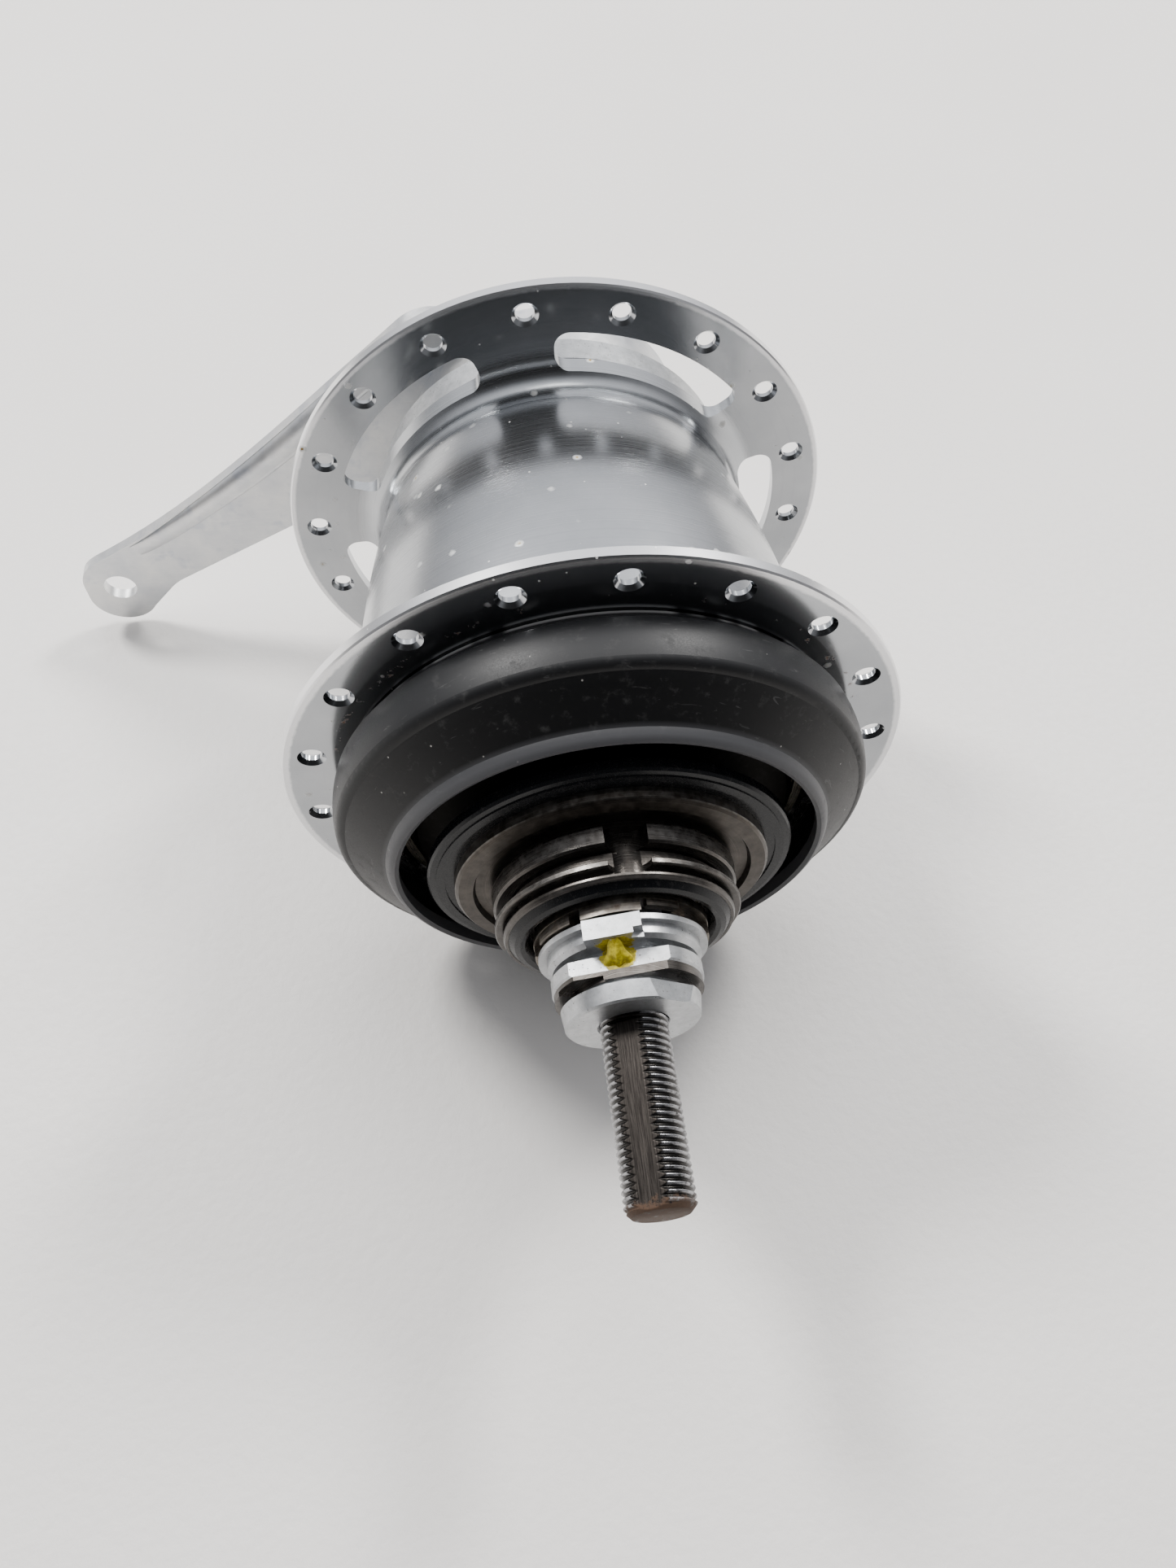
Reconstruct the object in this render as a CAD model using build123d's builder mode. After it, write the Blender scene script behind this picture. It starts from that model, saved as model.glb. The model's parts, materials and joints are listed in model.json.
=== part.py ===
"""Internally geared bicycle hub with a coaster brake: every piece as its own solid.

Axes: the axle lies along Y, the drive side is at -Y and +Z is up.  The origin is the centre of the
outer face of the drive-side locknut.  Lengths are in millimetres, angles in degrees.
"""
from build123d import *
from math import atan2, cos, degrees, pi, radians, sin, sqrt, tan
import os

os.makedirs("parts", exist_ok=True)

# ---------------------------------------------------------------- driving dimensions
OVER_LOCKNUTS = 127.0          # locknut face to locknut face
AXLE_R = 9.525 / 2             # 3/8 inch axle
AXLE_DRIVE_END = -25.2
AXLE_BRAKE_END = 150.3
AXLE_CORE_R = 6.0              # the thick middle of the axle
AXLE_FLAT = 4.05               # axis to each flat on the threaded ends
AXLE_FLAT_ANGLE = 113.5
CLIP_STARTS = (39.4, 58.2)     # snap rings on each side of the sun gears
CLIP_W = 1.0

DRIVE_FACE = 41.8              # outer face of the drive-side flange
DRIVE_FLANGE_R = 47.8
DRIVE_PCD_R = 43.5
BRAKE_FACE = 99.0              # outer face of the brake-side flange
BRAKE_FLANGE_R = 47.5
BRAKE_PCD_R = 42.9
FLANGE_T = 2.0
SPOKES = 18                    # holes in each flange
SPOKE_R = 1.5
SPOKE_CHAMFER = 0.6
DRIVE_SPOKE_ANGLE = 187.0
BRAKE_SPOKE_ANGLE = 197.9
SLOTS = 5                      # windows in the brake-side flange
SLOT_ANGLE = 66.2
SLOT_SPAN = 52.0
SLOT_IN_R = 33.0
SLOT_OUT_R = 39.2

MODULE = 1.0
PRESSURE_ANGLE = 25.0
ADDENDUM = 0.75
DEDENDUM = 1.0
BACKLASH = 0.16
RING_IN_TEETH, SUN_IN_TEETH = 48, 28
RING_OUT_TEETH, SUN_OUT_TEETH = 44, 24
PLANET_TEETH = 10
PLANETS = 4
STAGE_IN_Y, STAGE_OUT_Y = 40.5, 51.1     # where each row of gears starts
GEAR_W = 7.0
PLANET_W = 6.4

SMALL_BALL_R = 1.984           # 5/32 inch
LARGE_BALL_R = 2.381           # 3/16 inch
RACE_GAP = 0.045
RUNNING = 0.05                 # radial clearance of a running fit

SHOES = 3
SHOE_SPAN = 100.0
CAM_TURN = 15.0                # backward turn that applies the brake
CAM_LIFT = 0.35                # how far each shoe moves out


# ---------------------------------------------------------------- helpers
def polar(radius, angle):
    """Point at a radius and an angle, in the plane across the axle."""
    return (radius * cos(radians(angle)), radius * sin(radians(angle)))


def across(y):
    """Plane across the axle at station y: its x is X and its y is Z."""
    return Plane.XZ.offset(-y)


def turned(*outline):
    """Add the solid that a closed (radius, station) outline sweeps about the axle."""
    with BuildSketch(Plane.XY) as profile:
        with BuildLine():
            Polyline(*outline, close=True)
        make_face()
    revolve(profile.sketch, axis=Axis.Y)


def ring(inner, outer, start, end):
    """Add a plain ring between two radii and two stations."""
    turned((inner, start), (outer, start), (outer, end), (inner, end))


def race(pitch, y, ball):
    """Cut the groove that a row of balls runs in."""
    with BuildSketch(Plane.XY) as groove:
        with Locations((pitch, y)):
            Circle(ball + RACE_GAP)
    revolve(groove.sketch, axis=Axis.Y, mode=Mode.SUBTRACT)


def flats(angle, distance, start, end, both=True):
    """Cut one flat or a pair of flats at a distance from the axis, facing the given angle."""
    reach = 30.0
    turns = (angle, angle + 180) if both else (angle,)
    with BuildSketch(across(start)) as cutter:
        for turn in turns:
            with Locations(Location((*polar(distance + reach / 2, turn), 0), (0, 0, turn))):
                Rectangle(reach, 2 * reach)
    extrude(cutter.sketch, amount=start - end, mode=Mode.SUBTRACT)


def bar(angle, inner, outer, width, start, end, mode=Mode.ADD):
    """A straight block that runs radially at an angle."""
    with BuildSketch(across(start)) as block:
        with Locations(Location((*polar((inner + outer) / 2, angle), 0), (0, 0, angle))):
            Rectangle(outer - inner, width)
    extrude(block.sketch, amount=start - end, mode=mode)


def sector(angle, span, inner, outer, start, end, mode=Mode.ADD, corner=0.0):
    """A block bounded by two arcs about the axle and two radial sides, with rounded corners."""
    first, last = angle - span / 2, angle + span / 2
    with BuildSketch(across(start)) as block:
        with BuildLine():
            ThreePointArc(polar(outer, first), polar(outer, angle), polar(outer, last))
            Line(polar(outer, last), polar(inner, last))
            ThreePointArc(polar(inner, last), polar(inner, angle), polar(inner, first))
            Line(polar(inner, first), polar(outer, first))
        make_face()
        if corner:
            fillet(block.vertices(), corner)
    extrude(block.sketch, amount=start - end, mode=mode)


def involute(angle):
    """Involute function of a pressure angle in radians."""
    return tan(angle) - angle


def tooth(teeth, inner, outer, thickening):
    """Outline of one involute tooth pointing along local x, from the inner to the outer radius."""
    pitch_r = MODULE * teeth / 2
    base_r = pitch_r * cos(radians(PRESSURE_ANGLE))
    half_pitch = (pi * MODULE / 2 + thickening) / (2 * pitch_r)
    half_base = half_pitch + involute(radians(PRESSURE_ANGLE))
    steps = 5
    start = max(inner, base_r)
    flank = []
    for i in range(steps + 1):
        r = start + (outer - start) * i / steps
        roll = sqrt(max((r / base_r) ** 2 - 1, 0))
        flank.append((r, half_base - (roll - atan2(roll, 1))))
    if inner < base_r:
        flank.insert(0, (inner, flank[0][1]))
    left = [(r * cos(a), r * sin(a)) for r, a in flank]
    right = [(x, -y) for x, y in reversed(left)]
    return left + right


def toothed(teeth, inner, outer, thickening, phase):
    """Sketch a full gear: a disc of the inner radius with teeth out to the outer radius."""
    outline = tooth(teeth, inner - MODULE / 4, outer, thickening)
    Circle(inner)
    for i in range(teeth):
        with Locations(Location((0, 0, 0), (0, 0, phase + 360 * i / teeth))):
            Polygon(*outline, align=None)


def planet_phase(place, sun_teeth, sun_phase):
    """Angle of a planet's first tooth that puts its gap on the sun's tooth."""
    offset = (sun_phase - place) * sun_teeth / 360 + 0.5
    return place + 180 - 360 / PLANET_TEETH * offset


def ring_phase(place, ring_teeth, phase):
    """Angle of an annulus gear's first tooth space that takes the planet's tooth."""
    return place + 360 / ring_teeth * (phase - place) * PLANET_TEETH / 360


def planet_places(first):
    return [first + 360 / PLANETS * i for i in range(PLANETS)]


def save(builder, name):
    builder.part.label = name
    export_step(builder.part, f"parts/{name}.step")


# ---------------------------------------------------------------- axle and what is fixed to it
with BuildPart() as axle:
    turned((0, AXLE_DRIVE_END), (AXLE_R - 0.9, AXLE_DRIVE_END), (AXLE_R, AXLE_DRIVE_END + 0.9),
           (AXLE_R, 11.4), (AXLE_CORE_R, 11.4), (AXLE_CORE_R, 117.8), (AXLE_R, 117.8),
           (AXLE_R, AXLE_BRAKE_END - 0.9), (AXLE_R - 0.9, AXLE_BRAKE_END), (0, AXLE_BRAKE_END))
    flats(AXLE_FLAT_ANGLE, AXLE_FLAT, AXLE_DRIVE_END - 1, -0.6)
    flats(AXLE_FLAT_ANGLE, AXLE_FLAT, OVER_LOCKNUTS + 0.6, AXLE_BRAKE_END + 1)
    for clip_y in CLIP_STARTS:
        with BuildSketch(Plane.XY) as clip_groove:
            with Locations((AXLE_CORE_R, clip_y + CLIP_W / 2)):
                Rectangle(1.2, CLIP_W + 0.04)
        revolve(clip_groove.sketch, axis=Axis.Y, mode=Mode.SUBTRACT)
save(axle, "axle")

with BuildPart() as drive_locknut:
    turned((AXLE_R + 0.02, 0.3), (AXLE_R + 0.32, 0), (9.2, 0), (9.5, 0.3), (9.85, 2.7), (7.6, 2.7),
           (7.6, 3.9), (AXLE_R + 0.02, 3.9))
    flats(57.0, 9.1, -1, 5, both=False)
save(drive_locknut, "drive_locknut")

NUT_FLAT_ANGLE = 102.3
with BuildPart() as drive_washer:
    ring(AXLE_R + 0.02, 10.5, 3.9, 5.1)
    flats(NUT_FLAT_ANGLE, 8.3, 3, 6)
    sector(140.0, 44.0, 8.0, 11.0, 3.8, 4.5, mode=Mode.SUBTRACT)
save(drive_washer, "drive_washer")

with BuildPart() as drive_stop_nut:
    turned((AXLE_R + 0.02, 5.1), (10.45, 5.1), (10.75, 5.4), (10.75, 7.2), (7.9, 7.4), (7.9, 8.2),
           (AXLE_R + 0.02, 8.2))
    flats(NUT_FLAT_ANGLE, 8.2, 5, 9)
save(drive_stop_nut, "drive_stop_nut")

CONE_SLEEVE_R, CONE_BORE_R = 9.6, 7.5
SMALL_PITCH_R, SMALL_BALL_Y = 11.0, 19.0
WINDOW_Y = (12.0, 13.8)
LUG_ANGLES = (45.0, 165.0, 285.0)       # selector lugs, at rest against their stop
SELECTOR_TURN = 72.0
WINDOW_SPAN = 98.0
KEY_ANGLE = 102.0                      # raised key on the front of the cone
with BuildPart() as drive_cone:
    turned((AXLE_R + 0.02, 8.2), (10.4, 8.2), (11.0, 8.8), (11.0, 10.3), (12.15, 10.3), (12.15, 11.1),
           (CONE_SLEEVE_R, 11.1), (CONE_SLEEVE_R, 21.4), (CONE_BORE_R, 21.4), (CONE_BORE_R, 11.3),
           (AXLE_R + 0.02, 11.3))
    bar(KEY_ANGLE, 9.0, 12.2, 8.0, 8.2, 11.1)
    bar(KEY_ANGLE - 17.0, 10.8, 13.0, 1.8, 8.0, 9.0, mode=Mode.SUBTRACT)     # notched corner
    race(SMALL_PITCH_R, SMALL_BALL_Y, SMALL_BALL_R)
    for lug in LUG_ANGLES:
        sector(lug - SELECTOR_TURN / 2, WINDOW_SPAN, CONE_BORE_R - 0.5, CONE_SLEEVE_R + 0.5, *WINDOW_Y,
               mode=Mode.SUBTRACT)
save(drive_cone, "drive_cone")

SUNS = {
    "sun_gear_large": (SUN_IN_TEETH, STAGE_IN_Y),
    "sun_gear_small": (SUN_OUT_TEETH, STAGE_OUT_Y),
}
for name, (teeth, start) in SUNS.items():
    pitch_r = MODULE * teeth / 2
    with BuildPart() as sun:
        with BuildSketch(across(start)):
            toothed(teeth, pitch_r - DEDENDUM, pitch_r + ADDENDUM, -BACKLASH, 0)
            Circle(AXLE_CORE_R + 0.02, mode=Mode.SUBTRACT)
        extrude(amount=-GEAR_W)
    save(sun, name)

with BuildPart() as sun_spacer:
    ring(AXLE_CORE_R + 0.02, 8.4, STAGE_IN_Y + GEAR_W, STAGE_OUT_Y)
save(sun_spacer, "sun_spacer")

with BuildPart() as axle_circlips:
    for clip_y in CLIP_STARTS:
        ring(AXLE_CORE_R - 0.58, 7.6, clip_y, clip_y + CLIP_W)
        sector(270.0, 70.0, 4.0, 8.5, clip_y - 1, clip_y + 2, mode=Mode.SUBTRACT)
save(axle_circlips, "axle_circlips")

# ---------------------------------------------------------------- gear selector
SLEEVE_IN_R, SLEEVE_OUT_R = AXLE_CORE_R + 0.08, 7.35
TEETH = ((101.5, 39.0), (145.5, 33.0), (190.0, 22.0), (285.0, 40.0), (0.0, 26.0))   # angle and span
with BuildPart() as shift_ring:
    ring(9.9, 12.6, 13.0, 14.2)
    for lug in LUG_ANGLES:
        bar(lug, SLEEVE_OUT_R + 0.02, 10.5, 3.0, 12.4, 13.4)
    for angle, span in TEETH:
        sector(angle, span, 11.2, 12.5, 11.4, 13.6)
    sector(66.5, 23.0, 11.2, 12.5, 12.1, 13.6)
save(shift_ring, "shift_ring")

with BuildPart() as shift_sleeve:
    ring(SLEEVE_IN_R, SLEEVE_OUT_R, 12.0, 34.0)
    for lug in LUG_ANGLES:
        bar(lug, 6.8, 8.0, 1.6, 24.0, 34.5, mode=Mode.SUBTRACT)
save(shift_sleeve, "shift_sleeve")

with BuildPart() as shift_cam:
    ring(SLEEVE_OUT_R + 0.02, 9.2, 30.2, 33.6)
    for lug in LUG_ANGLES:
        sector(lug, 48.0, 8.8, 10.8, 30.2, 33.6)
save(shift_cam, "shift_cam")

SPRING_COIL_R, SPRING_WIRE_R, SPRING_PITCH, SPRING_H = 8.6, 0.5, 1.5, 6.0
with BuildPart() as shift_spring:
    with BuildLine():
        Helix(SPRING_PITCH, SPRING_H, SPRING_COIL_R, center=(0, 22.8, 0), direction=(0, 1, 0))
    with BuildSketch(Plane.XY):
        with Locations((SPRING_COIL_R, 22.8)):
            Circle(SPRING_WIRE_R)
    sweep(is_frenet=True)
save(shift_spring, "shift_spring")

# ---------------------------------------------------------------- driver
DRUM_R, DRUM_BORE_R, DRUM_END = 29.0, 26.42, 48.0
DRIVE_PITCH_R, DRIVE_BALL_Y = 30.6, 38.0
CHANNEL_ANGLES = (88.5, 208.5, 328.5)  # round-bottomed channels for the sprocket's lugs
CHANNEL_ORBIT_R, CHANNEL_R = 18.0, 3.0
CHANNEL_START, CHANNEL_END = 14.9, 21.8
COVER_R = 23.2
with BuildPart() as driver:
    turned((14.6, 14.5), (16.15, 14.5), (16.15, 14.0), (16.55, 14.0), (16.8, 14.5), (16.8, 14.8),
           (15.9, 14.9), (15.9, 15.5), (17.7, 15.5), (17.9, 15.7), (17.9, 16.3), (15.8, 16.3),
           (15.8, 18.5), (15.3, 18.5), (15.3, 18.8), (17.5, 18.8), (17.85, 19.15), (18.0, 21.5),
           (17.8, CHANNEL_END), (16.5, CHANNEL_END), (16.5, 23.8), (17.5, 25.7), (18.5, 29.0),
           (24.0, 31.2), (28.2, 32.8),
           (DRUM_R, 33.6), (DRUM_R, DRUM_END), (DRUM_BORE_R, DRUM_END), (DRUM_BORE_R, 36.6),
           (25.0, 36.6), (20.0, 35.4), (12.4, 33.8), (12.4, 17.0), (14.6, 17.0))
    race(SMALL_PITCH_R, SMALL_BALL_Y, SMALL_BALL_R)
    race(DRIVE_PITCH_R, DRIVE_BALL_Y, SMALL_BALL_R)
    for channel in CHANNEL_ANGLES:
        with BuildSketch(across(CHANNEL_START)) as groove:
            with Locations(polar(CHANNEL_ORBIT_R, channel)):
                Circle(CHANNEL_R)
        extrude(groove.sketch, amount=CHANNEL_START - CHANNEL_END, mode=Mode.SUBTRACT)
save(driver, "driver")

with BuildPart() as driver_cover:
    turned((16.52, 22.9), (20.2, 22.9), (20.6, 22.0), (22.7, 22.1), (COVER_R, 22.6), (COVER_R, 26.2),
           (22.4, 26.2), (22.4, 23.7), (16.52, 23.7))
save(driver_cover, "driver_cover")

with BuildPart() as seal_ring:
    turned((COVER_R + 0.02, 24.1), (24.6, 24.1), (24.6, 23.9), (25.9, 23.9), (25.9, 24.1),
           (26.8, 24.2), (27.1, 24.6), (27.1, 26.0), (COVER_R + 0.02, 26.0))
save(seal_ring, "seal_ring")

with BuildPart() as mouth_seal:
    turned((12.95, 14.5), (13.2, 13.9), (13.8, 13.2), (14.5, 12.95), (15.3, 13.2), (16.1, 14.0),
           (16.1, 14.48), (14.58, 14.48), (14.58, 16.9), (12.95, 16.9))
save(mouth_seal, "mouth_seal")


def annulus_gear(teeth, outer, start, phase):
    """Sketch and extrude a gear with its teeth on the inside."""
    pitch_r = MODULE * teeth / 2
    with BuildSketch(across(start)) as face:
        Circle(outer)
        with BuildSketch(across(start), mode=Mode.PRIVATE) as cutter:
            toothed(teeth, pitch_r - ADDENDUM, pitch_r + DEDENDUM, BACKLASH, phase)
        add(cutter.sketch, mode=Mode.SUBTRACT)
    extrude(face.sketch, amount=-GEAR_W)


IN_PLACES, OUT_PLACES = planet_places(0.0), planet_places(45.0)
IN_ORBIT_R = MODULE * (SUN_IN_TEETH + PLANET_TEETH) / 2
OUT_ORBIT_R = MODULE * (SUN_OUT_TEETH + PLANET_TEETH) / 2

with BuildPart() as input_ring_gear:
    annulus_gear(RING_IN_TEETH, DRUM_BORE_R - 0.02, STAGE_IN_Y,
                 ring_phase(0.0, RING_IN_TEETH, planet_phase(0.0, SUN_IN_TEETH, 0)))
save(input_ring_gear, "input_ring_gear")

# ---------------------------------------------------------------- planet carrier and planets
PIN_R = 1.9
with BuildPart() as carrier:
    ring(8.0, 23.5, 37.2, 39.8)
    ring(9.0, 23.5, 48.3, 50.6)
    ring(9.0, 21.0, 58.9, 61.6)
    ring(9.0, 11.0, 61.6, 66.0)
    for place in IN_PLACES:
        with BuildSketch(across(39.8)) as post:
            with Locations(polar(18.3, place + 45)):
                Circle(2.8)
        extrude(post.sketch, amount=-8.5)
    for place in OUT_PLACES:
        with BuildSketch(across(50.6)) as post:
            with Locations(polar(17.6, place + 45)):
                Circle(2.8)
        extrude(post.sketch, amount=-8.3)
    for place, orbit, start in ([(p, IN_ORBIT_R, 37.2) for p in IN_PLACES]
                                + [(p, OUT_ORBIT_R, 48.3) for p in OUT_PLACES]):
        with BuildSketch(across(start)) as pin_hole:
            with Locations(polar(orbit, place)):
                Circle(PIN_R + 0.01)
        extrude(pin_hole.sketch, amount=-13.4, mode=Mode.SUBTRACT)
    for dog in range(3):
        bar(120 * dog, 8.0, 12.0, 5.0, 63.5, 66.5, mode=Mode.SUBTRACT)
save(carrier, "planet_carrier")

with BuildPart() as planet_pins:
    for place, orbit, start in ([(p, IN_ORBIT_R, 37.2) for p in IN_PLACES]
                                + [(p, OUT_ORBIT_R, 48.3) for p in OUT_PLACES]):
        with BuildSketch(across(start)) as pin:
            with Locations(polar(orbit, place)):
                Circle(PIN_R)
        extrude(pin.sketch, amount=-13.3)
save(planet_pins, "planet_pins")

PLANET_ROWS = (
    ("input_planet", SUN_IN_TEETH, IN_ORBIT_R, IN_PLACES, STAGE_IN_Y),
    ("output_planet", SUN_OUT_TEETH, OUT_ORBIT_R, OUT_PLACES, STAGE_OUT_Y),
)
planet_r = MODULE * PLANET_TEETH / 2
for stem, sun_teeth, orbit, places, start in PLANET_ROWS:
    for number, place in enumerate(places, 1):
        centre = polar(orbit, place)
        plane = Plane(origin=(centre[0], start + 0.3, centre[1]), x_dir=(1, 0, 0), z_dir=(0, -1, 0))
        with BuildPart() as planet:
            with BuildSketch(plane):
                toothed(PLANET_TEETH, planet_r - DEDENDUM, planet_r + ADDENDUM, -BACKLASH,
                        planet_phase(place, sun_teeth, 0))
                Circle(PIN_R + RUNNING, mode=Mode.SUBTRACT)
            extrude(amount=-PLANET_W)
        save(planet, f"{stem}_{number}")

# ---------------------------------------------------------------- shell
BARREL = ((37.2, 43.8), (35.3, 71.8), (31.6, 91.6))    # radius and station along the barrel
CUP_R, CLUTCH_R, BRAKE_BORE_R, COLLAR_R, COLLAR_END = 34.9, 33.5, 27.5, 29.3, 103.4
with BuildPart() as shell:
    with BuildSketch(Plane.XY) as wall:
        with BuildLine():
            Polyline((CUP_R + 0.02, DRIVE_FACE), (DRIVE_FLANGE_R - 0.25, DRIVE_FACE),
                     (DRIVE_FLANGE_R, DRIVE_FACE + 0.25), (DRIVE_FLANGE_R, DRIVE_FACE + FLANGE_T - 0.3),
                     (DRIVE_FLANGE_R - 0.3, DRIVE_FACE + FLANGE_T), (38.6, DRIVE_FACE + FLANGE_T))
            ThreePointArc((38.6, DRIVE_FACE + FLANGE_T), (37.75, 44.2), (37.1, 45.2))
            ThreePointArc((37.1, 45.2), BARREL[1], BARREL[2])
            ThreePointArc(BARREL[2], (32.43, 95.33), (35.87, BRAKE_FACE - FLANGE_T))
            Polyline((35.87, BRAKE_FACE - FLANGE_T), (BRAKE_FLANGE_R - 0.25, BRAKE_FACE - FLANGE_T),
                     (BRAKE_FLANGE_R, BRAKE_FACE - FLANGE_T + 0.25), (BRAKE_FLANGE_R, BRAKE_FACE - 0.3),
                     (BRAKE_FLANGE_R - 0.3, BRAKE_FACE), (31.0, BRAKE_FACE), (COLLAR_R, BRAKE_FACE + 0.9),
                     (COLLAR_R, COLLAR_END), (BRAKE_BORE_R + 0.02, COLLAR_END), (BRAKE_BORE_R + 0.02, 69.9),
                     (31.0, 66.5), (CLUTCH_R, 62.0), (CLUTCH_R, 48.0), (CUP_R + 0.02, 48.0),
                     (CUP_R + 0.02, DRIVE_FACE))
        make_face()
    revolve(wall.sketch, axis=Axis.Y)
    for face, pcd_r, first in ((DRIVE_FACE, DRIVE_PCD_R, DRIVE_SPOKE_ANGLE),
                               (BRAKE_FACE - FLANGE_T, BRAKE_PCD_R, BRAKE_SPOKE_ANGLE)):
        with BuildSketch(across(face)) as holes:
            with PolarLocations(pcd_r, SPOKES, start_angle=first):
                Circle(SPOKE_R)
        extrude(holes.sketch, amount=-FLANGE_T, mode=Mode.SUBTRACT)
    rims = shell.edges().filter_by(GeomType.CIRCLE)
    chamfer(rims.filter_by(lambda edge: abs(edge.radius - SPOKE_R) < 0.01), SPOKE_CHAMFER)
    for number in range(SLOTS):
        sector(SLOT_ANGLE + 360 / SLOTS * number, SLOT_SPAN, SLOT_IN_R, SLOT_OUT_R, 93.0,
               BRAKE_FACE + 1, mode=Mode.SUBTRACT, corner=2.4)
save(shell, "shell")

with BuildPart() as dust_cap:
    with BuildSketch(Plane.XY) as cap_wall:
        with BuildLine():
            Polyline((35.2, 41.5), (38.2, 41.5), (38.2, 40.9), (40.1, 38.9))
            ThreePointArc((40.1, 38.9), (40.45, 35.8), (40.1, 32.7))
            ThreePointArc((40.1, 32.7), (39.65, 31.9), (38.7, 31.4))
            Polyline((38.7, 31.4), (33.0, 26.8))
            ThreePointArc((33.0, 26.8), (32.5, 25.8), (31.7, 25.2))
            Polyline((31.7, 25.2), (31.1, 25.5), (31.3, 27.6), (36.3, 32.0), (37.4, 33.4), (37.2, 36.0),
                     (35.2, 36.4), (35.2, 41.5))
        make_face()
    revolve(cap_wall.sketch, axis=Axis.Y)
save(dust_cap, "dust_cap")

with BuildPart() as drive_ball_cup:
    turned((32.0, 34.6), (34.0, 34.6), (35.18, 35.8), (35.18, DRIVE_FACE - 0.02), (CUP_R, DRIVE_FACE - 0.02),
           (CUP_R, 47.9), (32.0, 47.9))
    race(DRIVE_PITCH_R, DRIVE_BALL_Y, SMALL_BALL_R)
save(drive_ball_cup, "drive_ball_cup")

OUT_RING_R, ROLLER_R, ROLLERS = 26.0, 1.25, 16
with BuildPart() as output_ring_gear:
    annulus_gear(RING_OUT_TEETH, OUT_RING_R, STAGE_OUT_Y,
                 ring_phase(45.0, RING_OUT_TEETH, planet_phase(45.0, SUN_OUT_TEETH, 0)))
save(output_ring_gear, "output_ring_gear")

with BuildPart() as clutch_rollers:
    with BuildSketch(across(51.6)):
        with PolarLocations(OUT_RING_R + ROLLER_R + 0.03, ROLLERS):
            Circle(ROLLER_R)
    extrude(amount=-6.0)
save(clutch_rollers, "clutch_rollers")

with BuildPart() as clutch_cage:
    ring(OUT_RING_R + 0.4, OUT_RING_R + 2.2, 50.6, 51.4)
    for number in range(ROLLERS):
        sector(360 / ROLLERS * (number + 0.5), 10.0, OUT_RING_R + 0.4, OUT_RING_R + 2.2, 51.4, 57.6)
save(clutch_cage, "clutch_cage")

with BuildPart() as clutch_outer_race:
    ring(OUT_RING_R + 2 * ROLLER_R + 0.06, CLUTCH_R - 0.02, 50.6, 60.0)
save(clutch_outer_race, "clutch_outer_race")

DRUM_LINER_R = 25.95
with BuildPart() as brake_drum:
    ring(DRUM_LINER_R, BRAKE_BORE_R, 70.0, 95.0)
save(brake_drum, "brake_drum")

BRAKE_PITCH_R, BRAKE_BALL_Y = 22.5, 100.2
with BuildPart() as brake_ball_cup:
    turned((24.0, 97.2), (BRAKE_BORE_R, 97.2), (BRAKE_BORE_R, 103.2), (24.0, 103.2))
    race(BRAKE_PITCH_R, BRAKE_BALL_Y, LARGE_BALL_R)
save(brake_ball_cup, "brake_ball_cup")

# ---------------------------------------------------------------- balls and their retainers
BEARINGS = (
    ("driver", SMALL_PITCH_R, SMALL_BALL_Y, SMALL_BALL_R, 10, 1),
    ("drive", DRIVE_PITCH_R, DRIVE_BALL_Y, SMALL_BALL_R, 24, -1),
    ("brake", BRAKE_PITCH_R, BRAKE_BALL_Y, LARGE_BALL_R, 18, 1),
)
for name, pitch, y, ball, count, side in BEARINGS:
    with BuildPart() as balls:
        for number in range(count):
            x, z = polar(pitch, 360 / count * number)
            with Locations((x, y, z)):
                Sphere(ball)
    save(balls, f"{name}_balls")
    with BuildPart() as retainer:
        back = y + side * (ball + 0.9)
        ring(pitch - 0.7, pitch + 0.7, min(y, back), max(y, back))
        with BuildSketch(across(y)) as pockets:
            with PolarLocations(pitch, count):
                Circle(ball + 0.08)
        extrude(pockets.sketch, amount=-side * (ball + 0.1), mode=Mode.SUBTRACT)
    save(retainer, f"{name}_ball_retainer")

# ---------------------------------------------------------------- coaster brake
SHOE_ANGLES = [90 + 360 / SHOES * i for i in range(SHOES)]
SHOE_IN_R, SHOE_OUT_R = 16.65, 25.55
CAM_R = 12.1
ROLLER_BRAKE_R = 2.2
with BuildPart() as brake_cam:
    with BuildSketch(across(69.0)) as lobes:
        Circle(11.6)
        for shoe in SHOE_ANGLES:
            ramp = [polar(CAM_R + CAM_LIFT * back / CAM_TURN, shoe - back) for back in range(-6, 25, 3)]
            Polygon(*ramp, polar(9.0, shoe - 24), polar(9.0, shoe + 6), align=None)
    extrude(lobes.sketch, amount=-22.5)
    ring(8.0, 10.8, 66.8, 69.0)
    with BuildSketch(across(66.0)) as bore:
        Circle(AXLE_CORE_R + 0.08)
    extrude(bore.sketch, amount=-30, mode=Mode.SUBTRACT)
save(brake_cam, "brake_cam")

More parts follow.
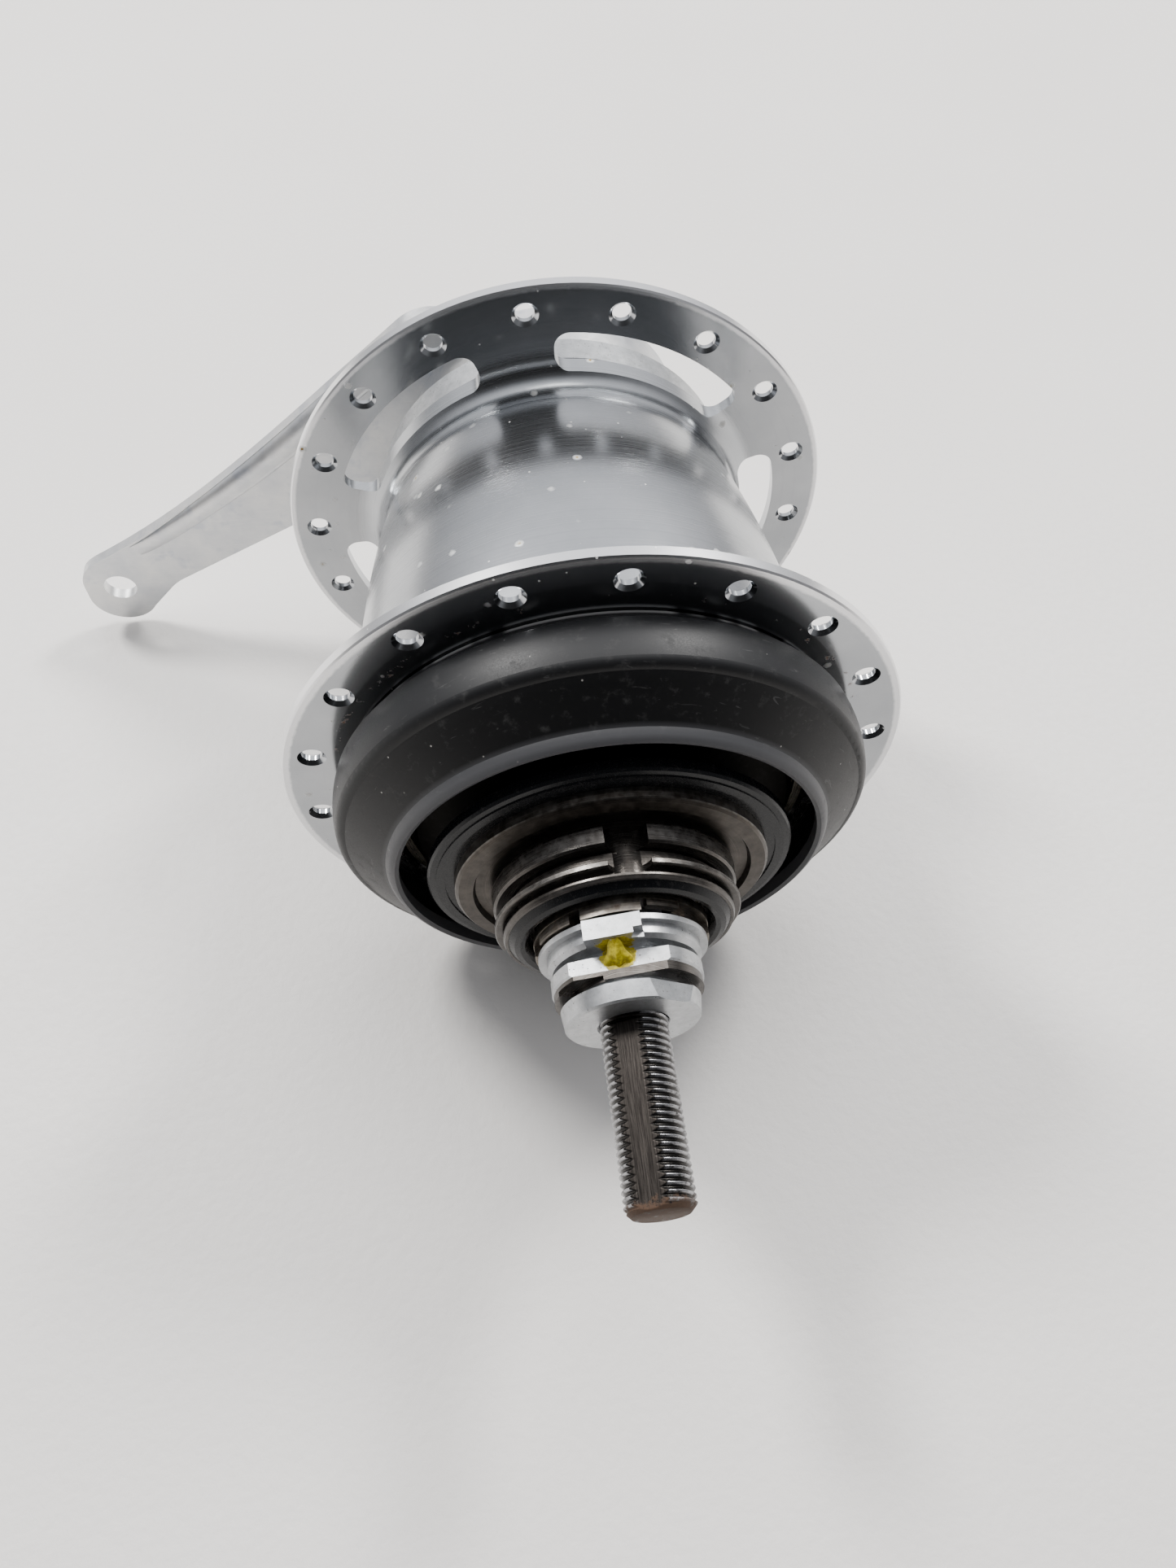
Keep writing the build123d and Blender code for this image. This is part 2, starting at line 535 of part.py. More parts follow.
for number, shoe_angle in enumerate(SHOE_ANGLES, 1):
    with BuildPart() as shoe:
        sector(shoe_angle, SHOE_SPAN, SHOE_IN_R, SHOE_OUT_R, 71.5, 93.0)
        with BuildSketch(Plane.XY) as spring_groove:
            with Locations(((24.1 + 26.0) / 2, 74.6)):
                Rectangle(1.9, 1.5)
        revolve(spring_groove.sketch, axis=Axis.Y, mode=Mode.SUBTRACT)
        for drain in (-25, 0, 25):
            bar(shoe_angle + drain, 24.9, 26.5, 1.2, 77.0, 94.0, mode=Mode.SUBTRACT)
    save(shoe, f"brake_shoe_{number}")
    with BuildPart() as roller:
        with BuildSketch(across(72.5)):
            with Locations(polar(CAM_R + RUNNING + ROLLER_BRAKE_R, shoe_angle)):
                Circle(ROLLER_BRAKE_R)
        extrude(amount=-18.0)
    save(roller, f"brake_roller_{number}")

with BuildPart() as shoe_spring:
    with BuildSketch(Plane.XY):
        with Locations((24.98, 74.6)):
            Circle(0.33)
    revolve(axis=Axis.Y)
    sector(30.0, 8.0, 23.0, 27.0, 73.0, 76.0, mode=Mode.SUBTRACT)
save(shoe_spring, "shoe_spring")

with BuildPart() as brake_cone:
    turned((AXLE_CORE_R + 0.02, 94.0), (17.5, 94.0), (20.6, 97.0), (20.6, 104.6), (14.0, 105.8),
           (14.0, 119.0), (9.5, 119.0), (9.5, 123.0), (AXLE_R + 0.02, 123.0), (AXLE_R + 0.02, 118.0),
           (AXLE_CORE_R + 0.02, 118.0))
    race(BRAKE_PITCH_R, BRAKE_BALL_Y, LARGE_BALL_R)
    for shoe_angle in SHOE_ANGLES:
        bar(shoe_angle + 60, 14.8, 17.4, 3.6, 85.0, 94.5)
    flats(0.0, 8.0, 119.0, 124.0)
save(brake_cone, "brake_cone")

with BuildPart() as brake_dust_cap:
    turned((14.02, 106.0), (29.9, 106.0), (29.9, 101.6), (31.2, 101.6), (31.2, 106.4), (30.4, 107.2),
           (14.02, 107.2))
save(brake_dust_cap, "brake_dust_cap")

ARM_FACE, ARM_T, ARM_CUP_R, ARM_CUP_DEPTH = 120.8, 2.4, 25.5, 11.6
ARM_HOLE, ARM_HOLE_R = (-90.5, -35.7), 3.3
ARM_PAD, ARM_PAD_R = (-90.8, -38.5), 6.8
ARM_SHOULDER = (-23.0, 27.0)
ARM_TIP = (-97.7, -31.1)
ARM_EDGE = ((-37.0, 14.7), (-56.2, -2.1), (-78.1, -18.9), (-93.4, -28.3))      # upper edge
ARM_HEM = ((-97.6, -38.5), (-90.8, -42.0), (-85.3, -42.4), (-78.7, -35.2), (-52.7, -21.2), (-10.0, 2.4))
ARM_BENDS = ((ARM_SHOULDER, 9.0), (ARM_TIP, 7.0), (ARM_HEM[3], 12.0), (ARM_HEM[4], 60.0))
BEAD = (                       # centre, width and height of the raised bead beside the upper edge
    ((-22.5, 23.2), 3.0, 0.3),
    ((-30.5, 16.8), 5.0, 1.8),
    ((-42.0, 6.7), 5.2, 2.2),
    ((-54.5, -4.1), 5.0, 2.1),
    ((-66.0, -13.0), 4.4, 1.6),
    ((-76.5, -20.6), 3.8, 0.9),
    ((-84.5, -25.4), 3.0, 0.15),
)
with BuildPart() as brake_arm:
    with BuildSketch(across(ARM_FACE)) as plate:
        with BuildLine():
            Polyline((0.0, 24.0), ARM_SHOULDER, ARM_EDGE[0])
            Spline(*ARM_EDGE)
            Polyline(ARM_EDGE[-1], ARM_TIP, *ARM_HEM, (0.0, 24.0))
        make_face()
        for bend, bend_r in ARM_BENDS:
            corner = plate.vertices().sort_by_distance((*bend, 0))[0]
            fillet(corner, bend_r)
        Circle(ARM_CUP_R)
        with Locations(ARM_PAD):
            Circle(ARM_PAD_R)
    extrude(plate.sketch, amount=-ARM_T)
    ring(ARM_CUP_R - 2.0, ARM_CUP_R, ARM_FACE - ARM_CUP_DEPTH, ARM_FACE)
    sections = []
    for (x, z), width, height in BEAD:
        with BuildSketch(Plane((x, ARM_FACE, z), x_dir=(0.63, 0, -0.77), z_dir=(-0.77, 0, -0.63))) as bead:
            Ellipse(width / 2, height)
        sections.append(bead.sketch)
    loft(sections)
    with BuildSketch(across(ARM_FACE)) as openings:
        with Locations(ARM_HOLE):
            Circle(ARM_HOLE_R)
        with BuildSketch(across(ARM_FACE), mode=Mode.PRIVATE) as seat:
            Circle(9.52)
            Rectangle(16.04, 25.0, mode=Mode.INTERSECT)
        add(seat.sketch)
    extrude(openings.sketch, amount=-ARM_T, mode=Mode.SUBTRACT)
save(brake_arm, "brake_arm")

with BuildPart() as brake_arm_nut:
    with BuildSketch(across(123.2)):
        RegularPolygon(22.0 / 2, 6, major_radius=False, rotation=12)
        Circle(AXLE_R + 0.02, mode=Mode.SUBTRACT)
    extrude(amount=-(OVER_LOCKNUTS - 123.2))
    with BuildSketch(Plane.XY) as bevel:
        with BuildLine():
            Polyline((11.0, OVER_LOCKNUTS), (14.0, OVER_LOCKNUTS), (14.0, OVER_LOCKNUTS - 1.5), close=True)
        make_face()
    revolve(bevel.sketch, axis=Axis.Y, mode=Mode.SUBTRACT)
save(brake_arm_nut, "brake_arm_nut")
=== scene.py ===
"""Looks of an internally geared bicycle hub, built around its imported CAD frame.

Everything is in metres in the frame's own axes: the axle lies along Y with the drive side at -Y, and
+Z is up. Numbers inside the materials are millimetres.
"""
import json
from math import cos, pi, radians, sin

import bpy
from mathutils import Matrix, Vector


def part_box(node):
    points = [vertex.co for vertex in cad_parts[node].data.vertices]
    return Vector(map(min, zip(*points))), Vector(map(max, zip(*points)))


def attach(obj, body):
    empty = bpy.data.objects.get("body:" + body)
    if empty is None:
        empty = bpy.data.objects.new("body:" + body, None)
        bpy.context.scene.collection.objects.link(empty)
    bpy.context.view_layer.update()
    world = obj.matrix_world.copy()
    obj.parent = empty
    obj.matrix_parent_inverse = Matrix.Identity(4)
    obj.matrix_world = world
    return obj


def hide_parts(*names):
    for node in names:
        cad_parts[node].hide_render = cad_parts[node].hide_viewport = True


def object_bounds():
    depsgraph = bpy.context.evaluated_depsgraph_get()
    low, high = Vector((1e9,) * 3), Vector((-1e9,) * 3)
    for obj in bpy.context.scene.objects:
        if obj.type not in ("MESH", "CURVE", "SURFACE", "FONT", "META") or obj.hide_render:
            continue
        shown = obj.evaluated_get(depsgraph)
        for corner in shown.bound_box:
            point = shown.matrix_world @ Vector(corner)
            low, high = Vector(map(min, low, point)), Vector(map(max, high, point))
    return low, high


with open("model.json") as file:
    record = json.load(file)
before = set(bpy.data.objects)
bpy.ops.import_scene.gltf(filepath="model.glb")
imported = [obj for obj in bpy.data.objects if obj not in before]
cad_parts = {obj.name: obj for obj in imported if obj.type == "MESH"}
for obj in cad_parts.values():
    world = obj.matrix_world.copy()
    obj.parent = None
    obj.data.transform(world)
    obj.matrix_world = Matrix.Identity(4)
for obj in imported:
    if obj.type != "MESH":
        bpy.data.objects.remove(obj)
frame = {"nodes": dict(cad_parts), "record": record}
cad_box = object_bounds()
scene = bpy.context.scene
MM = 0.001
AXLE_MIDDLE = 0.06                 # Y of the hub's middle, where the lamps aim and the floor is centred
FLAT_ANGLE = radians(113.5)        # direction that the axle's flats face
FLAT_DISTANCE = 4.05 * MM
ARM_SLOPE = radians(39.0)          # the brake arm's own direction, along which it was drawn
DAB_ANGLE = radians(102.3)         # direction of the stop nut's flat and the cone's key
DAB_RADIUS = 9.3                   # millimetres
DAB_Y = 7.1
DAB_CENTRE = (DAB_RADIUS * cos(DAB_ANGLE), DAB_Y, DAB_RADIUS * sin(DAB_ANGLE))

# ---------------------------------------------------------------- camera
EYE = Vector((-0.01873, -0.05464, 0.14969))
FORWARD = Vector((0.09647, 0.53045, -0.84221)).normalized()
UP = Vector((0.08001, 0.83928, 0.53779))
FOCAL_MM = 26.19
SENSOR_MM = 36.0


def make_camera():
    """A wide lens close above the drive end, as when a phone looks down at a thing on a table."""
    data = bpy.data.cameras.new("camera")
    data.lens = FOCAL_MM
    data.sensor_width = SENSOR_MM
    data.clip_start = 0.005
    camera = bpy.data.objects.new("camera", data)
    right = FORWARD.cross(UP).normalized()
    up = right.cross(FORWARD)
    turn = Matrix((right, up, -FORWARD)).transposed()
    camera.matrix_world = Matrix.Translation(EYE) @ turn.to_4x4()
    scene.collection.objects.link(camera)
    scene.camera = camera


# ---------------------------------------------------------------- node material helper
class Surface:
    """A node material in the making. Lengths inside it are millimetres in the frame's axes."""

    def __init__(self, name):
        self.material = bpy.data.materials.new(name)
        self.material.use_nodes = True
        self.tree = self.material.node_tree
        self.shader = self.tree.nodes["Principled BSDF"]
        place = self.node("ShaderNodeTexCoord")
        scaled = self.node("ShaderNodeVectorMath", operation="SCALE")
        scaled.inputs["Scale"].default_value = 1 / MM
        self.tree.links.new(place.outputs["Object"], scaled.inputs[0])
        self.place = scaled.outputs[0]
        split = self.node("ShaderNodeSeparateXYZ")
        self.tree.links.new(self.place, split.inputs[0])
        self.x, self.y, self.z = split.outputs
        self.radius = self.math("SQRT", self.math("ADD", self.math("MULTIPLY", self.x, self.x),
                                                  self.math("MULTIPLY", self.z, self.z)))

    def node(self, kind, **settings):
        node = self.tree.nodes.new(kind)
        for key, value in settings.items():
            setattr(node, key, value)
        return node

    def put(self, socket, value):
        if isinstance(value, bpy.types.NodeSocket):
            self.tree.links.new(value, socket)
        elif isinstance(value, (tuple, list)) and len(value) == 3 and socket.type == "RGBA":
            socket.default_value = (*value, 1.0)
        else:
            socket.default_value = value

    def math(self, operation, a, b=None):
        node = self.node("ShaderNodeMath", operation=operation)
        self.put(node.inputs[0], a)
        if b is not None:
            self.put(node.inputs[1], b)
        return node.outputs[0]

    def mix(self, amount, a, b):
        """Colour b over colour a."""
        node = self.node("ShaderNodeMix", data_type="RGBA")
        self.put(node.inputs["Factor"], amount)
        self.put(node.inputs[6], a)
        self.put(node.inputs[7], b)
        return node.outputs[2]

    def blend(self, amount, a, b):
        """Number b over number a."""
        node = self.node("ShaderNodeMix", data_type="FLOAT")
        self.put(node.inputs["Factor"], amount)
        self.put(node.inputs[2], a)
        self.put(node.inputs[3], b)
        return node.outputs[0]

    def noise(self, scale, detail=3.0, roughness=0.55, vector=None, distortion=0.0):
        """Cloudy noise, scale in waves per millimetre."""
        node = self.node("ShaderNodeTexNoise")
        self.put(node.inputs["Vector"], self.place if vector is None else vector)
        node.inputs["Scale"].default_value = scale
        node.inputs["Detail"].default_value = detail
        node.inputs["Roughness"].default_value = roughness
        node.inputs["Distortion"].default_value = distortion
        return node.outputs["Fac"]

    def lines(self, along, scale, detail=2.0):
        """One-dimensional noise, for turned or drawn lines across the given length."""
        node = self.node("ShaderNodeTexNoise", noise_dimensions="1D")
        self.put(node.inputs["W"], along)
        node.inputs["Scale"].default_value = scale
        node.inputs["Detail"].default_value = detail
        return node.outputs["Fac"]

    def spots(self, scale):
        """Distance from scattered points, in units of 1/scale millimetres, and a random number of each."""
        node = self.node("ShaderNodeTexVoronoi")
        self.put(node.inputs["Vector"], self.place)
        node.inputs["Scale"].default_value = scale
        node.inputs["Randomness"].default_value = 1.0
        pick = self.node("ShaderNodeSeparateColor")
        self.put(pick.inputs[0], node.outputs["Color"])
        return node.outputs["Distance"], pick.outputs[0]

    def turned_tangent(self, amount):
        """Stretch the highlights as fine turning about the axle does."""
        tangent = self.node("ShaderNodeTangent", direction_type="RADIAL", axis="Y")
        self.put(self.shader.inputs["Tangent"], tangent.outputs[0])
        self.shader.inputs["Anisotropic"].default_value = amount

    def between(self, value, low, high, out_low=0.0, out_high=1.0):
        """Clamped straight ramp of a value."""
        node = self.node("ShaderNodeMapRange", clamp=True)
        self.put(node.inputs["Value"], value)
        limits = {"From Min": low, "From Max": high, "To Min": out_low, "To Max": out_high}
        for name, number in limits.items():
            node.inputs[name].default_value = number
        return node.outputs[0]

    def bump(self, height, depth_mm, strength=1.0, normal=None):
        """Relief of the given depth in millimetres."""
        node = self.node("ShaderNodeBump")
        node.inputs["Strength"].default_value = strength
        node.inputs["Distance"].default_value = depth_mm * MM
        self.put(node.inputs["Height"], height)
        if normal is not None:
            self.put(node.inputs["Normal"], normal)
        return node.outputs[0]

    def near(self, point, reach):
        """1 at a point, falling to 0 at a distance, both in millimetres."""
        node = self.node("ShaderNodeVectorMath", operation="DISTANCE")
        self.put(node.inputs[0], self.place)
        node.inputs[1].default_value = point
        return self.between(node.outputs["Value"], reach, 0.0)

    def finish(self, colour, roughness, metallic=0.0, normal=None, **constants):
        self.put(self.shader.inputs["Base Color"], colour)
        self.put(self.shader.inputs["Roughness"], roughness)
        self.put(self.shader.inputs["Metallic"], metallic)
        if normal is not None:
            self.put(self.shader.inputs["Normal"], normal)
        for name, value in constants.items():
            self.shader.inputs[name.replace("_", " ")].default_value = value
        return self.material


# ---------------------------------------------------------------- materials
def cast_alloy():
    """Satin silver shell: fine turning lines, a painted highlight along the flange rims, pale specks with
    rusty hearts.
    """
    flange_inner, flange_outer = 36.5, 39.0
    rim_inner, rim_outer = 46.7, 47.1
    rust_radius = 40.6
    cap_face_y = 42.2
    s = Surface("cast_alloy")
    along = s.math("ADD", s.y, s.radius)
    fine = s.lines(along, 5.0, 3.0)
    coarse = s.lines(along, 1.3, 2.0)
    cloud = s.noise(0.07, 4.0, 0.6)
    flange = s.between(s.radius, flange_inner, flange_outer)
    uneven = s.math("ADD", s.radius, s.math("MULTIPLY", s.noise(1.2, 3.0), 0.5))
    rim_highlight = s.between(uneven, rim_inner, rim_outer)
    distance, pick = s.spots(0.21)
    ragged = s.math("ADD", distance, s.math("MULTIPLY", s.math("SUBTRACT", s.noise(1.8, 3.0), 0.5), 0.10))
    chosen = s.between(pick, 0.60, 0.62)
    speck = s.math("MULTIPLY", s.math("MULTIPLY", s.between(ragged, 0.16, 0.06), chosen), 0.75)
    heart = s.math("MULTIPLY", s.between(ragged, 0.07, 0.03), s.between(pick, 0.80, 0.82))
    tiny, tiny_pick = s.spots(0.55)
    dot = s.math("MULTIPLY", s.between(tiny, 0.10, 0.05), s.between(tiny_pick, 0.80, 0.82))
    metal = s.mix(s.between(cloud, 0.35, 0.7), (0.40, 0.415, 0.43), (0.48, 0.49, 0.505))
    metal = s.mix(s.math("MULTIPLY", s.between(coarse, 0.55, 0.75), 0.15), metal, (0.34, 0.35, 0.37))
    # painted highlight: the flange rims are coloured light all round
    metal = s.mix(rim_highlight, metal, (0.80, 0.80, 0.81))
    off_ring = s.math("ABSOLUTE", s.math("SUBTRACT", s.radius, rust_radius))
    patchy = s.between(s.noise(0.5, 5.0, 0.75), 0.60, 0.68)
    rust_ring = s.math("MULTIPLY", s.between(off_ring, 0.9, 0.2), patchy)
    rust_ring = s.math("MULTIPLY", rust_ring, s.between(s.y, cap_face_y, cap_face_y - 0.3))
    colour = s.mix(s.math("MAXIMUM", speck, dot), metal, (0.62, 0.62, 0.60))
    colour = s.mix(heart, colour, (0.30, 0.19, 0.04))
    colour = s.mix(rust_ring, colour, (0.16, 0.07, 0.025))
    rough = s.between(fine, 0.3, 0.7, 0.20, 0.28)
    rough = s.blend(flange, rough, 0.15)
    rough = s.blend(rim_highlight, rough, 0.22)
    dull = s.math("MAXIMUM", s.math("MAXIMUM", speck, dot), rust_ring)
    rough = s.blend(dull, rough, 0.75)
    relief = s.bump(fine, 0.002, 0.35)
    relief = s.bump(speck, 0.05, 0.6, relief)
    s.turned_tangent(0.35)
    return s.finish(colour, rough, s.blend(dull, 1.0, 0.25), relief)


def black_plastic():
    """Near-black moulded cap with a faint grain, dust, lint, scuffs, a pale line against the metal and
    painted light making its cylindrical side lighter than the front cone.
    """
    nose_y, wall_y = 30.5, 33.5
    lip_outer, lip_inner = 33.6, 32.6
    seam_y = 41.0
    s = Surface("black_plastic")
    grain = s.noise(6.0, 4.0, 0.6)
    dust = s.between(s.noise(0.5, 6.0, 0.7), 0.56, 0.8)
    scuff_place = s.node("ShaderNodeMapping")
    scuff_place.inputs["Scale"].default_value = (0.25, 1.6, 0.25)
    s.put(scuff_place.inputs["Vector"], s.place)
    scuffs = s.between(s.noise(1.0, 3.0, 0.6, scuff_place.outputs[0], 1.2), 0.66, 0.71)
    # painted light: the cap's side is coloured lighter than the front cone, as lit from above
    cap_side_light = s.between(s.y, nose_y, wall_y)
    colour = s.mix(cap_side_light, (0.0035, 0.0035, 0.004), (0.015, 0.0155, 0.017))
    colour = s.mix(dust, colour, (0.040, 0.040, 0.040))
    lint, lint_pick = s.spots(0.30)
    lint = s.math("MULTIPLY", s.between(lint, 0.05, 0.02), s.between(lint_pick, 0.45, 0.47))
    colour = s.mix(s.math("MULTIPLY", scuffs, 0.35), colour, (0.10, 0.10, 0.10))
    colour = s.mix(lint, colour, (0.38, 0.37, 0.35))
    lip = s.between(s.radius, lip_outer, lip_inner)
    colour = s.mix(s.math("MULTIPLY", lip, 0.8), colour, (0.085, 0.086, 0.092))
    broken = s.between(s.noise(0.12, 2.0), 0.42, 0.5)
    seam = s.math("MULTIPLY", s.between(s.y, seam_y, seam_y + 0.3), broken)
    colour = s.mix(s.math("MULTIPLY", seam, 0.7), colour, (0.45, 0.45, 0.44))
    rough = s.between(grain, 0.3, 0.7, 0.38, 0.50)
    rough = s.blend(dust, rough, 0.7)
    return s.finish(colour, rough, 0.0, s.bump(grain, 0.012, 0.35), Specular_IOR_Level=0.25)


def black_rubber():
    """Glossy black rubber, grey with dust in the steps."""
    s = Surface("black_rubber")
    grain = s.noise(4.0, 4.0, 0.65)
    dust = s.between(s.noise(0.9, 6.0, 0.75), 0.56, 0.75)
    colour = s.mix(s.math("MULTIPLY", dust, 0.4), (0.0045, 0.005, 0.006), (0.050, 0.047, 0.043))
    rough = s.blend(dust, s.between(grain, 0.3, 0.7, 0.20, 0.30), 0.5)
    return s.finish(colour, rough, 0.0, s.bump(grain, 0.01, 0.3), Specular_IOR_Level=0.20)


def rust_over(s, colour, rough, metallic, amount):
    """Brown rust laid over a metal where amount is high."""
    tone = s.mix(s.noise(2.2, 5.0, 0.7), (0.042, 0.022, 0.013), (0.110, 0.058, 0.030))
    return s.mix(amount, colour, tone), s.blend(amount, rough, 0.85), s.blend(amount, metallic, 0.15)


def axle_steel():
    """Dark oiled thread with crests lightened in patches by wear and a painted glint, dull scratched flats
    and brown rust at the end chamfer.
    """
    crest_from, crest_to = 4.46, 4.70
    drive_rust, brake_rust = (-22.5, -25.1), (147.6, 150.2)
    s = Surface("axle_steel")
    crest = s.between(s.radius, crest_from, crest_to)
    wear = s.noise(1.2, 4.0, 0.65)
    side = s.math("ABSOLUTE", s.math("ADD", s.math("MULTIPLY", s.x, cos(FLAT_ANGLE)),
                                     s.math("MULTIPLY", s.z, sin(FLAT_ANGLE))))
    on_flat = s.between(side, FLAT_DISTANCE / MM - 0.08, FLAT_DISTANCE / MM - 0.02)
    scratch_place = s.node("ShaderNodeMapping")
    scratch_place.inputs["Scale"].default_value = (5.0, 0.16, 5.0)
    s.put(scratch_place.inputs["Vector"], s.place)
    scratches = s.noise(1.2, 5.0, 0.75, scratch_place.outputs[0])
    # painted glint: patches of the thread crests coloured light, partly wear
    crest_glint = s.math("MULTIPLY", crest, s.between(wear, 0.32, 0.50))
    colour = s.mix(crest_glint, (0.035, 0.033, 0.031), (0.36, 0.36, 0.37))
    flat_tone = s.mix(s.between(scratches, 0.40, 0.68), (0.009, 0.008, 0.0075), (0.036, 0.032, 0.029))
    colour = s.mix(on_flat, colour, flat_tone)
    rough = s.blend(on_flat, s.between(wear, 0.3, 0.7, 0.36, 0.22), 0.42)
    ends = s.math("MAXIMUM", s.between(s.y, *drive_rust), s.between(s.y, *brake_rust))
    rust = s.between(s.math("ADD", s.noise(0.8, 6.0, 0.75), s.math("MULTIPLY", ends, 0.34)), 0.66, 0.78)
    colour, rough, metallic = rust_over(s, colour, rough, 1.0, s.math("MULTIPLY", rust, 0.85))
    relief = s.bump(scratches, 0.02, 0.5)
    return s.finish(colour, rough, metallic, s.bump(rust, 0.04, 0.5, relief))


def zinc_steel():
    """Grainy zinc plate with dark pinholes, and a dab of yellow setting paint at the cone's key."""
    s = Surface("zinc_steel")
    grain = s.noise(6.0, 4.0, 0.7)
    cloud = s.noise(0.55, 5.0, 0.65)
    distance, pick = s.spots(1.7)
    pits = s.math("MULTIPLY", s.between(distance, 0.20, 0.08), s.between(pick, 0.70, 0.72))
    colour = s.mix(s.between(cloud, 0.3, 0.7), (0.34, 0.35, 0.36), (0.50, 0.51, 0.52))
    stain = s.math("MULTIPLY", s.between(s.noise(1.6, 5.0, 0.7), 0.58, 0.68), 0.5)
    colour = s.mix(stain, colour, (0.22, 0.20, 0.18))
    colour = s.mix(pits, colour, (0.06, 0.055, 0.05))
    rough = s.blend(pits, s.between(grain, 0.3, 0.7, 0.26, 0.38), 0.8)
    dab = s.near(DAB_CENTRE, 3.4)
    dab = s.math("ADD", dab, s.math("MULTIPLY", s.math("SUBTRACT", s.noise(0.9, 2.0), 0.5), 0.5))
    paint = s.between(dab, 0.18, 0.24)
    paint_tone = s.mix(s.between(s.noise(2.0, 3.0), 0.4, 0.6), (0.36, 0.28, 0.005), (0.62, 0.52, 0.01))
    colour = s.mix(paint, colour, paint_tone)
    rough = s.blend(paint, rough, 0.5)
    metallic = s.blend(s.math("MAXIMUM", paint, pits), 0.85, 0.0)
    relief = s.bump(grain, 0.022, 0.6)
    return s.finish(colour, rough, metallic, s.bump(paint, 0.1, 0.5, relief))


def turned_steel(name, dark, light, rough_low, rough_high, rust=0.0, dirt=0.0, bright_radii=None,
                 greasy_from=None):
    """Turned steel with fine lines about the axle under a painted sheen, a cloudy tone, edges lightened by
    wear and a painted highlight, and rust or grime.
    """
    s = Surface(name)
    along = s.math("ADD", s.y, s.radius)
    fine = s.lines(along, 7.0, 3.0)
    cloud = s.noise(0.45, 5.0, 0.65)
    colour = s.mix(s.between(cloud, 0.3, 0.7), dark, light)
    # painted sheen: a lighter copy of the metal laid along the fine turning lines
    sheen_tone = tuple(min(1.0, 2.4 * part) for part in light)
    colour = s.mix(s.math("MULTIPLY", s.between(fine, 0.55, 0.75), 0.3), colour, sheen_tone)
    rough = s.between(fine, 0.3, 0.7, rough_low, rough_high)
    metallic = 1.0
    if dirt:
        grime = s.math("MULTIPLY", s.between(s.noise(0.6, 6.0, 0.7), 0.50, 0.72), dirt)
        colour = s.mix(grime, colour, (0.022, 0.018, 0.014))
        rough = s.blend(grime, rough, 0.75)
        metallic = s.blend(grime, 1.0, 0.2)
    if rust:
        patches = s.math("MULTIPLY", s.between(s.noise(0.7, 6.0, 0.75), 0.56, 0.68), rust)
        colour, rough, metallic = rust_over(s, colour, rough, metallic, patches)
    # edges at the given radii coloured light: partly wear, partly a painted highlight
    if bright_radii:
        patchy = s.between(s.noise(0.8, 4.0), 0.36, 0.60)
        wear_and_highlight = s.math("MULTIPLY", s.between(s.radius, *bright_radii), patchy)
        colour = s.mix(s.math("MULTIPLY", wear_and_highlight, 0.16), colour, (0.52, 0.51, 0.49))
    if greasy_from:
        grease = s.between(s.y, greasy_from, greasy_from + 1.0)
        colour = s.mix(grease, colour, (0.012, 0.011, 0.010))
        rough = s.blend(grease, rough, 0.6)
    s.turned_tangent(0.3)
    return s.finish(colour, rough, metallic, s.bump(fine, 0.01, 0.5))


def dark_steel():
    """Driver steel, greasy and dull behind the disc where the cap hides it."""
    return turned_steel("dark_steel", (0.050, 0.045, 0.041), (0.098, 0.091, 0.084), 0.24, 0.36, rust=0.10,
                        dirt=0.30, bright_radii=(17.75, 17.92), greasy_from=25.0)


def bronzed_steel():
    return turned_steel("bronzed_steel", (0.040, 0.034, 0.029), (0.080, 0.070, 0.060), 0.28, 0.40,
                        rust=0.10, dirt=0.35, bright_radii=(22.95, 23.15))


def selector_steel():
    return turned_steel("selector_steel", (0.090, 0.075, 0.062), (0.22, 0.195, 0.165), 0.26, 0.42, rust=0.6,
                        dirt=0.4, bright_radii=(12.38, 12.48))


def gear_steel():
    return turned_steel("gear_steel", (0.30, 0.30, 0.31), (0.46, 0.46, 0.46), 0.2, 0.34, rust=0.05,
                        dirt=0.3)


def spring_steel():
    return turned_steel("spring_steel", (0.16, 0.17, 0.20), (0.30, 0.31, 0.33), 0.22, 0.34, rust=0.1,
                        dirt=0.2)


def retainer_steel():
    return turned_steel("retainer_steel", (0.34, 0.30, 0.24), (0.52, 0.48, 0.40), 0.26, 0.4, rust=0.1,
                        dirt=0.3)


def shoe_bronze():
    return turned_steel("shoe_bronze", (0.40, 0.24, 0.10), (0.60, 0.40, 0.18), 0.3, 0.46, dirt=0.4)


def ball_steel():
    """Polished bearing steel under a film of old grease."""
    s = Surface("ball_steel")
    film = s.between(s.noise(0.8, 4.0, 0.6), 0.48, 0.62)
    colour = s.mix(film, (0.72, 0.73, 0.74), (0.34, 0.26, 0.14))
    return s.finish(colour, s.blend(film, 0.08, 0.35), s.blend(film, 1.0, 0.5), s.bump(film, 0.01, 0.3))


